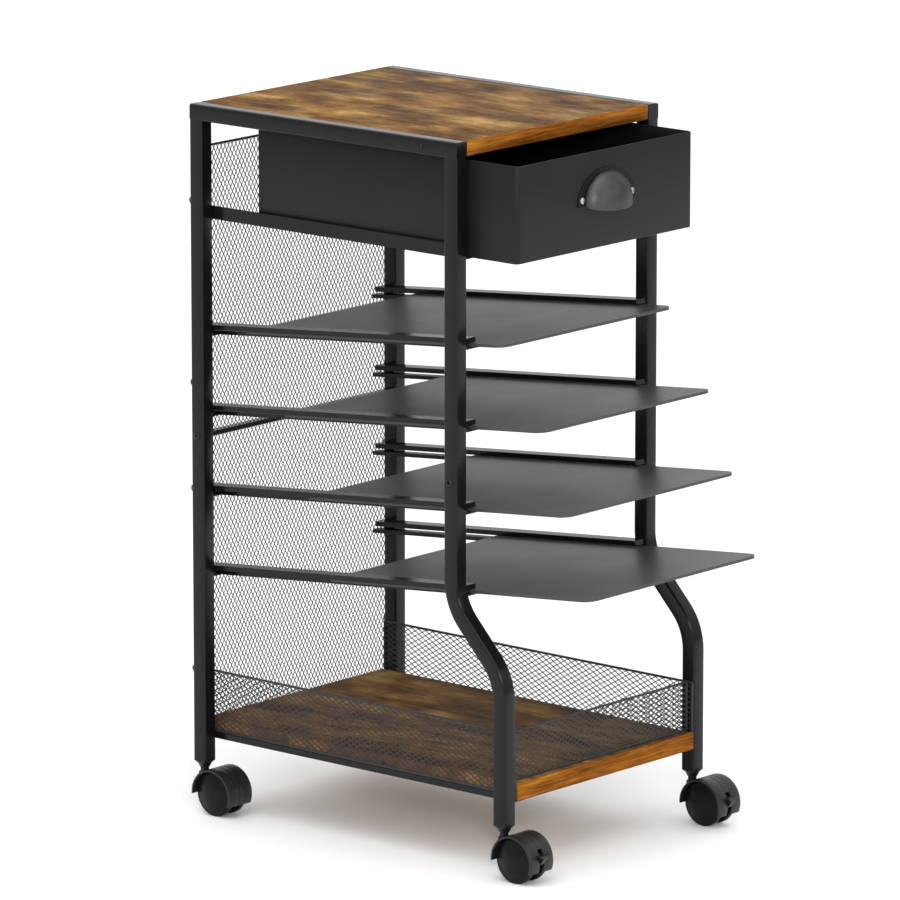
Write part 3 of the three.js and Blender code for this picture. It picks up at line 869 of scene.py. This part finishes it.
@dataclass(frozen=True)
class ScrewHead:
    """A domed screw head with a round socket, in one size and finish."""

    body: str
    finish: Material
    radius: float
    slimness: float = 0.55
    socket_share: float = 0.42
    socket_taper: float = 0.9
    socket_floor: float = 0.35
    seat_share: float = 0.15
    arc_steps: int = 6
    sides: int = 24

    def add(self, name: str, place: Vector, outward: Vector) -> None:
        """Add one head.

        Args:
            name: the screw's name.
            place: middle of the head's seat.
            outward: direction that the head faces.
        """
        axis = Matrix.Translation(place) @ outward.to_track_quat("Z", "Y").to_matrix().to_4x4()
        height = self.radius * self.slimness
        seat = self.seat_share * height
        arc = [0.5 * math.pi * step / self.arc_steps for step in range(self.arc_steps - 1)]
        profile = [(0.0, 0.0), (self.radius, 0.0)]
        profile += [(self.radius * math.cos(a), seat + (height - seat) * math.sin(a)) for a in arc]
        socket = self.radius * self.socket_share
        floor = height * self.socket_floor
        profile += [(socket, height), (socket * self.socket_taper, floor), (0.0, floor)]
        draft = MeshDraft()
        draft.lathe(profile, axis, self.sides)
        draft.build(name, self.body, "stem_steel", self.finish, sharp_deg=40.0)


@dataclass
class Drawer:
    """The folded drawer box and its cup pull."""

    finishes: Finishes
    corner_radius: float = 5.0 * MM
    wall: float = 1.2 * MM
    hem: float = 2.2 * MM
    hem_height: float = 9.0 * MM
    fold_radius: float = 0.9 * MM
    pull_height: float = 35.5 * MM
    dome_width: float = 68.0 * MM
    dome_height: float = 32.0 * MM
    lip_drop: float = 6.0 * MM
    flange: float = 1.6 * MM
    pull_wall: float = 1.6 * MM
    screw_spacing: float = 76.0 * MM
    screw_rise: float = 6.0 * MM
    screw_radius: float = 3.4 * MM

    def add_box(self) -> None:
        """Build the box: round upright corners and a hem folded in round its upper edge."""
        low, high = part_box("drawer_box")
        size = high - low
        centre = (low + high) / 2
        fold = self.fold_radius
        ease = ROUND_MIDDLE * fold

        def ring(inset: float, z: float) -> list[Point]:
            """Outline of the box drawn in by an inset, at a height."""
            radius = max(self.corner_radius - inset, 0.5 * MM)
            outline = rounded_rectangle(size.x - 2 * inset, size.y - 2 * inset, radius, steps=8)
            return [(centre.x + x, centre.y + y, z) for x, y in outline]

        levels = [
            (fold, low.z),
            (ease, low.z + ease),
            (0.0, low.z + fold),
            (0.0, high.z - fold),
            (ease, high.z - ease),
            (fold, high.z),
            (self.hem - ease, high.z - ease),
            (self.hem, high.z - fold),
            (self.hem, high.z - self.hem_height),
            (self.wall, high.z - self.hem_height),
            (self.wall, low.z + self.wall),
        ]
        draft = MeshDraft()
        draft.loft([ring(inset, z) for inset, z in levels])
        box = draft.build("drawer_box_folded", "drawer", "sheet_steel", self.finishes.drawer_coat)
        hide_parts("drawer_box")

    def add_pull(self) -> None:
        """Build the cup pull: a hollow dome on a half-oval flange, with two screws."""
        low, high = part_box("cup_pull")
        face_y = high.y
        foot = high.z - self.pull_height
        dome = MeshDraft()
        self.add_dome(dome, face_y, foot, high.y - low.y)
        cup = dome.build("cup_pull_dome", "drawer", "pull_metal", self.finishes.pull_nickel, sharp_deg=40.0)
        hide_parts("cup_pull")
        rim = MeshDraft()
        self.add_flange(rim, face_y, foot, (high.x - low.x) / 2)
        # The flange takes the near-black coat: painted shade, darker than the dome
        rim.build("cup_pull_flange", "drawer", "pull_metal", self.finishes.pull_enamel, sharp_deg=40.0)
        screw = ScrewHead("drawer", self.finishes.bright_steel, self.screw_radius)
        for side in Side:
            across = side.value * self.screw_spacing / 2
            place = Vector((across, face_y - self.flange, foot + self.screw_rise))
            screw.add(f"{side.label}_pull_screw", place, Vector((0, -1, 0)))

    def add_dome(self, draft: MeshDraft, face_y: float, foot: float, reach: float) -> None:
        """Add the dome: an outer and an inner skin whose lower lip drops toward the front.

        Args:
            draft: the pull's mesh.
            face_y: the drawer front's outer face.
            foot: height of the flange's lower edge.
            reach: how far the dome stands out.
        """
        across = 56
        outward = 28
        row = across + 1
        steepest = math.radians(89.0)
        skins = []
        for inset in (0.0, self.pull_wall):
            half = self.dome_width / 2 - inset
            deep = reach - inset
            tall = self.dome_height - inset
            for j in range(outward + 1):
                lift = 0.5 * math.pi * j / outward
                out = deep * math.sin(lift)
                dip = math.asin(min(1.0, self.lip_drop * math.tan(min(lift, steepest)) / tall))
                flat = math.cos(lift)
                for i in range(row):
                    turn = -dip + (math.pi + 2 * dip) * i / across
                    x = half * math.cos(turn) * flat
                    z = foot + tall * math.sin(turn) * flat
                    skins.append((x, face_y - out, z))
        inner = row * (outward + 1)
        faces: list[Face] = []
        for j in range(outward):
            for i in range(across):
                quad = (j * row + i, j * row + i + 1, (j + 1) * row + i + 1, (j + 1) * row + i)
                faces.append(quad)
                faces.append(tuple(inner + index for index in reversed(quad)))
            for column, flip in ((0, False), (across, True)):
                a = j * row + column
                b = a + row
                lip = (a, b, inner + b, inner + a)
                faces.append(tuple(reversed(lip)) if flip else lip)
        draft.add(skins, faces)

    def add_flange(self, draft: MeshDraft, face_y: float, foot: float, half_width: float) -> None:
        """Add the half-oval flange round the dome.

        Args:
            draft: the pull's mesh.
            face_y: the drawer front's outer face.
            foot: height of the flange's lower edge.
            half_width: half the flange's width.
        """
        edge = 0.5 * MM
        steps = 48
        hole_half = self.dome_width / 2 - self.pull_wall
        hole_tall = self.dome_height - self.pull_wall
        section = [
            (half_width, self.pull_height, 0.0),
            (half_width, self.pull_height, self.flange - edge),
            (half_width - edge, self.pull_height - edge, self.flange),
            (hole_half, hole_tall, self.flange),
            (hole_half, hole_tall, 0.0),
        ]
        rings = []
        for step in range(steps + 1):
            turn = math.pi * step / steps
            ring = []
            for half, tall, out in section:
                ring.append((half * math.cos(turn), face_y - out, foot + tall * math.sin(turn)))
            rings.append(ring)
        draft.loft(rings)

    def build(self) -> None:
        """Build the box and the pull."""
        self.add_box()
        self.add_pull()


@dataclass
class FrameScrews:
    """Screw heads on the legs and the top rails."""

    finishes: Finishes
    rear_levels: tuple[float, ...] = (629.5 * MM, 443.5 * MM, 334.5 * MM, 147.5 * MM)
    rear_radius: float = 5.0 * MM
    rear_slimness: float = 1.15
    rear_sink: float = 1.0 * MM
    side_level: float = 390.5 * MM
    side_radius: float = 4.0 * MM
    rail_setback: float = 46.0 * MM
    rail_radius: float = 2.6 * MM

    def build(self) -> None:
        """Add every screw head."""
        steel = self.finishes.dark_steel
        rear_screw = ScrewHead("frame", steel, self.rear_radius, self.rear_slimness)
        side_screw = ScrewHead("frame", steel, self.side_radius)
        rail_screw = ScrewHead("frame", steel, self.rail_radius)
        panel_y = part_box("back_mesh_panel")[1].y - self.rear_sink
        for side in Side:
            sideways = Vector((side.value, 0, 0))
            low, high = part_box(f"{side.label}_rear_leg")
            for index, level in enumerate(self.rear_levels, start=1):
                place = Vector(((low.x + high.x) / 2, panel_y, level))
                rear_screw.add(f"{side.label}_back_screw_{index}", place, Vector((0, 1, 0)))
            outer_x = high.x if side is Side.RIGHT else low.x
            place = Vector((outer_x, (low.y + high.y) / 2, self.side_level))
            side_screw.add(f"{side.label}_rear_side_screw", place, sideways)
            low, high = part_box(f"{side.label}_front_leg")
            tube = high.x - low.x
            place = Vector((outer_x, high.y - tube / 2, self.side_level))
            side_screw.add(f"{side.label}_front_side_screw", place, sideways)
            low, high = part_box(f"{side.label}_top_rail")
            place = Vector((outer_x, low.y - tube + self.rail_setback, (low.z + high.z) / 2))
            rail_screw.add(f"{side.label}_rail_screw", place, sideways)


@dataclass
class Trays:
    """The four sliding trays."""

    finishes: Finishes
    edge_mm: float = 0.5

    def build(self) -> None:
        """Dress each tray."""
        for level in TRAY_LEVELS:
            paint_node(f"tray_{level}", self.finishes.tray_coat, self.edge_mm)


@dataclass
class Caster:
    """One twin-wheel caster: wheels, hood, stem, socket and, on the front pair, a brake lever."""

    finishes: Finishes
    side: Side
    end: End
    wheel_radius: float = 23.0 * MM
    wheel_dome: float = 4.2 * MM
    trail: float = 23.0 * MM
    half_width: float = 17.5 * MM
    web_half: float = 5.3 * MM
    hood_gap: float = 0.9 * MM
    hood_wall: float = 2.1 * MM
    rear_deg: float = -4.0
    front_deg: float = 202.0
    slot_half: float = 3.4 * MM
    slot_start_deg: float = 148.0
    web_stop_deg: float = 120.0
    boss_radius: float = 6.2 * MM
    boss_top: float = 42.0 * MM
    arc_steps: int = 48

    @property
    def label(self) -> str:
        """Start of this caster's node and body names."""
        return f"{self.side.label}_{self.end.value}"

    def axle_centre(self) -> Vector:
        """Middle of the axle."""
        low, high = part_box(f"{self.label}_caster_axle")
        return (low + high) / 2

    def add_wheel(self, letter: str, outward: int) -> None:
        """Build one wheel: a domed face, a rounded tread and a shallow recess behind.

        Args:
            letter: the wheel's letter in its node name.
            outward: sign of X that its domed face looks to.
        """
        turn = Matrix.Rotation(outward * math.pi / 2, 4, "Y")
        axis = Matrix.Translation(self.axle_centre()) @ turn
        radius = self.wheel_radius
        hub = radius * 0.45
        inner = self.web_half + 0.7 * MM
        recess = inner + 1.2 * MM
        face = self.half_width - 0.6 * MM
        soft = 0.4 * MM
        chamfer = 1.4 * MM
        shoulder = 3.2 * MM
        shoulder_depth = shoulder * 0.6
        steps = 6
        profile = [(0.0, recess), (hub, recess), (hub, inner)]
        profile += [(radius - chamfer, inner), (radius - soft, inner + soft), (radius, inner + chamfer)]
        for step in range(steps + 1):
            angle = 0.5 * math.pi * step / steps
            reach = radius - shoulder * (1.0 - math.cos(angle))
            profile.append((reach, face - self.wheel_dome - shoulder_depth * (1.0 - math.sin(angle))))
        rim = radius - shoulder
        for step in range(1, steps + 1):
            reach = rim * (1.0 - step / steps)
            profile.append((reach, face - self.wheel_dome * (reach / rim) ** 2))
        draft = MeshDraft()
        draft.lathe(profile, axis, sides=64)
        node = f"{self.label}_caster_wheel_{letter}"
        body = f"{self.label}_wheel_{letter}"
        wheel = draft.build(f"{node}_moulding", body, "caster_plastic", self.finishes.wheel_plastic)
        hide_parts(node)

    def hood_strip(
        self,
        draft: MeshDraft,
        x0: float,
        x1: float,
        start: float,
        stop: float,
        rounds: Point2,
    ) -> None:
        """Add one curved strip of the hood.

        Args:
            draft: the hood's mesh.
            x0: left edge.
            x1: right edge.
            start: first angle in degrees, from the rear over the top.
            stop: last angle in degrees.
            rounds: edge rounding at the left and right edge.
        """
        centre = self.axle_centre()
        inner = self.wheel_radius + self.hood_gap
        outer = inner + self.hood_wall
        left, right = rounds
        section = [(x0, inner), (x1, inner), (x1, outer - right)]
        left_ease = ROUND_MIDDLE * left
        right_ease = ROUND_MIDDLE * right
        section += [(x1 - right_ease, outer - right_ease), (x1 - right, outer)]
        section += [(x0 + left, outer), (x0 + left_ease, outer - left_ease), (x0, outer - left)]
        rings = []
        for step in range(self.arc_steps + 1):
            angle = math.radians(start + (stop - start) * step / self.arc_steps)
            ring = []
            for x, reach in reversed(section):
                y = centre.y + reach * math.cos(angle)
                z = centre.z + reach * math.sin(angle)
                ring.append((centre.x + x, y, z))
            rings.append(ring)
        draft.loft(rings)

    def add_hood(self) -> None:
        """Build the hood: a curved cover, a web between the wheels and a boss for the stem."""
        centre = self.axle_centre()
        draft = MeshDraft()
        edge = 0.9 * MM
        small = 0.05 * MM
        braked = self.end is End.FRONT
        middle_stop = self.slot_start_deg if braked else self.front_deg
        wide = self.half_width
        slot = self.slot_half
        rear = self.rear_deg
        self.hood_strip(draft, -wide, -slot, rear, self.front_deg, (edge, small))
        self.hood_strip(draft, -slot, slot, rear, middle_stop, (small, small))
        self.hood_strip(draft, slot, wide, rear, self.front_deg, (small, edge))
        reach = self.wheel_radius + self.hood_gap + self.hood_wall / 2
        web_stop = self.web_stop_deg if braked else self.front_deg
        outline = [(0.0, 0.0)]
        for step in range(self.arc_steps + 1):
            angle = math.radians(rear + (web_stop - rear) * step / self.arc_steps)
            outline.append((reach * math.cos(angle), reach * math.sin(angle)))
        rings = []
        for x in (-self.web_half, self.web_half):
            rings.append([(centre.x + x, centre.y + y, centre.z + z) for y, z in outline])
        draft.loft(rings)
        swivel = Matrix.Translation((centre.x, centre.y + self.trail, 0.0))
        top = self.boss_top
        foot = top - 14.0 * MM
        floor = foot + 2.0 * MM
        radius = self.boss_radius
        bore = 3.2 * MM
        chamfer = 1.2 * MM
        soft = 0.4 * MM
        profile = [(0.0, foot), (radius, foot), (radius, top - chamfer), (radius - soft, top - soft)]
        profile += [(radius - chamfer, top), (bore, top), (bore, floor), (0.0, floor)]
        draft.lathe(profile, swivel, sides=40)
        node = f"{self.label}_caster_hood"
        body = f"{self.label}_caster"
        hood = draft.build(f"{node}_moulding", body, "caster_plastic", self.finishes.hood_plastic)
        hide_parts(node)

    def build(self) -> None:
        """Build the caster's mouldings and dress its small pieces."""
        self.add_wheel("a", -1)
        self.add_wheel("b", 1)
        self.add_hood()
        paint_node(f"{self.label}_caster_stem", self.finishes.dark_steel, edge_mm=0.3)
        paint_node(f"{self.label}_caster_axle", self.finishes.dark_steel, edge_mm=0.2)
        paint_node(f"{self.label}_leg_socket", self.finishes.hood_plastic, edge_mm=0.4)
        if self.end is End.FRONT:
            paint_node(f"{self.label}_caster_brake", self.finishes.hood_plastic, edge_mm=0.5)


@dataclass
class Studio:
    """Plain pale floor, soft light and the photograph's camera."""

    azimuth_deg: float = -49.232
    elevation_deg: float = 12.148
    distance: float = 8.0
    focal_pixels: float = 8029.2
    target: Point = (-46.9 * MM, 0.0, 392.56 * MM)
    sensor_mm: float = 36.0
    floor_size: float = 30.0
    aim: Point = (0.0, 0.0, 0.4)
    horizon_light: float = 0.55
    ceiling_light: float = 1.4

    def add_floor(self) -> None:
        """Lay the floor."""
        half = self.floor_size / 2
        mesh = bpy.data.meshes.new("studio_floor")
        corners = [(-half, -half, 0), (half, -half, 0), (half, half, 0), (-half, half, 0)]
        mesh.from_pydata(corners, [], [(0, 1, 2, 3)])
        mesh.materials.append(StudioPaper().build())
        floor = bpy.data.objects.new("studio_floor", mesh)
        bpy.context.scene.collection.objects.link(floor)

    def add_light(self, name: str, place: Point, size: Point2, power: float) -> None:
        """Add one soft box that faces the middle of the cart.

        Args:
            name: the light's name.
            place: where it stands.
            size: its width and height.
            power: its power in watts.
        """
        light = bpy.data.lights.new(name, "AREA")
        light.shape = "RECTANGLE"
        light.size, light.size_y = size
        light.energy = power
        lamp = bpy.data.objects.new(name, light)
        lamp.location = place
        lamp.visible_camera = False
        lamp.rotation_euler = (Vector(self.aim) - Vector(place)).to_track_quat("-Z", "Y").to_euler()
        bpy.context.scene.collection.objects.link(lamp)

    def add_lights(self) -> None:
        """Add the soft boxes and the even surround."""
        self.add_light("overhead_soft_box", (-0.6, -0.6, 2.6), (2.0, 2.0), 17.0)
        self.add_light("left_soft_box", (-2.8, -0.6, 1.6), (0.8, 2.2), 9.0)
        self.add_light("front_soft_box", (0.3, -3.0, 1.5), (1.4, 1.0), 9.0)
        self.add_light("corner_soft_box", (-6.6, -6.2, 3.3), (1.0, 1.4), 220.0)
        self.add_light("rear_soft_box", (3.8, 3.3, 1.8), (2.4, 1.4), 4.0)
        world = bpy.data.worlds.new("bright_ceiling")
        world.use_nodes = True
        tree = world.node_tree
        direction = add_node(tree, "ShaderNodeTexCoord")
        upward = add_node(tree, "ShaderNodeSeparateXYZ", {"Vector": direction.outputs["Generated"]})
        limits = {"To Min": self.horizon_light, "To Max": self.ceiling_light}
        strength = add_node(tree, "ShaderNodeMapRange", {"Value": upward.outputs["Z"], **limits})
        tree.links.new(strength.outputs["Result"], tree.nodes["Background"].inputs["Strength"])
        tree.nodes["Background"].inputs["Color"].default_value = (1.0, 1.0, 1.0, 1.0)
        bpy.context.scene.world = world

    def add_camera(self) -> None:
        """Place the camera at the photograph's viewing angle."""
        azimuth = math.radians(self.azimuth_deg)
        elevation = math.radians(self.elevation_deg)
        back = Vector((
            math.sin(azimuth) * math.cos(elevation),
            -math.cos(azimuth) * math.cos(elevation),
            math.sin(elevation),
        ))
        lens = bpy.data.cameras.new("photo_camera")
        lens.sensor_width = self.sensor_mm
        lens.lens = self.sensor_mm * self.focal_pixels / PHOTO_PIXELS
        lens.clip_end = 100.0
        camera = bpy.data.objects.new("photo_camera", lens)
        camera.location = Vector(self.target) + back * self.distance
        camera.rotation_euler = back.to_track_quat("Z", "Y").to_euler()
        bpy.context.scene.collection.objects.link(camera)
        bpy.context.scene.camera = camera

    def build(self) -> None:
        """Set up the studio."""
        self.add_floor()
        self.add_lights()
        self.add_camera()
        bpy.context.scene.view_settings.view_transform = "Standard"


def main() -> None:
    """Build every sub-assembly and the studio."""
    finishes = Finishes.build()
    builders: list[Callable[[], None]] = [
        TubeFrame(finishes).build,
        Boards(finishes).build,
        MeshWalls(finishes).build,
        Drawer(finishes).build,
        Trays(finishes).build,
        FrameScrews(finishes).build,
    ]
    builders += [Caster(finishes, side, end).build for side in Side for end in End]
    builders.append(Studio().build)
    for build in builders:
        build()


if __name__ == "__main__":
    main()
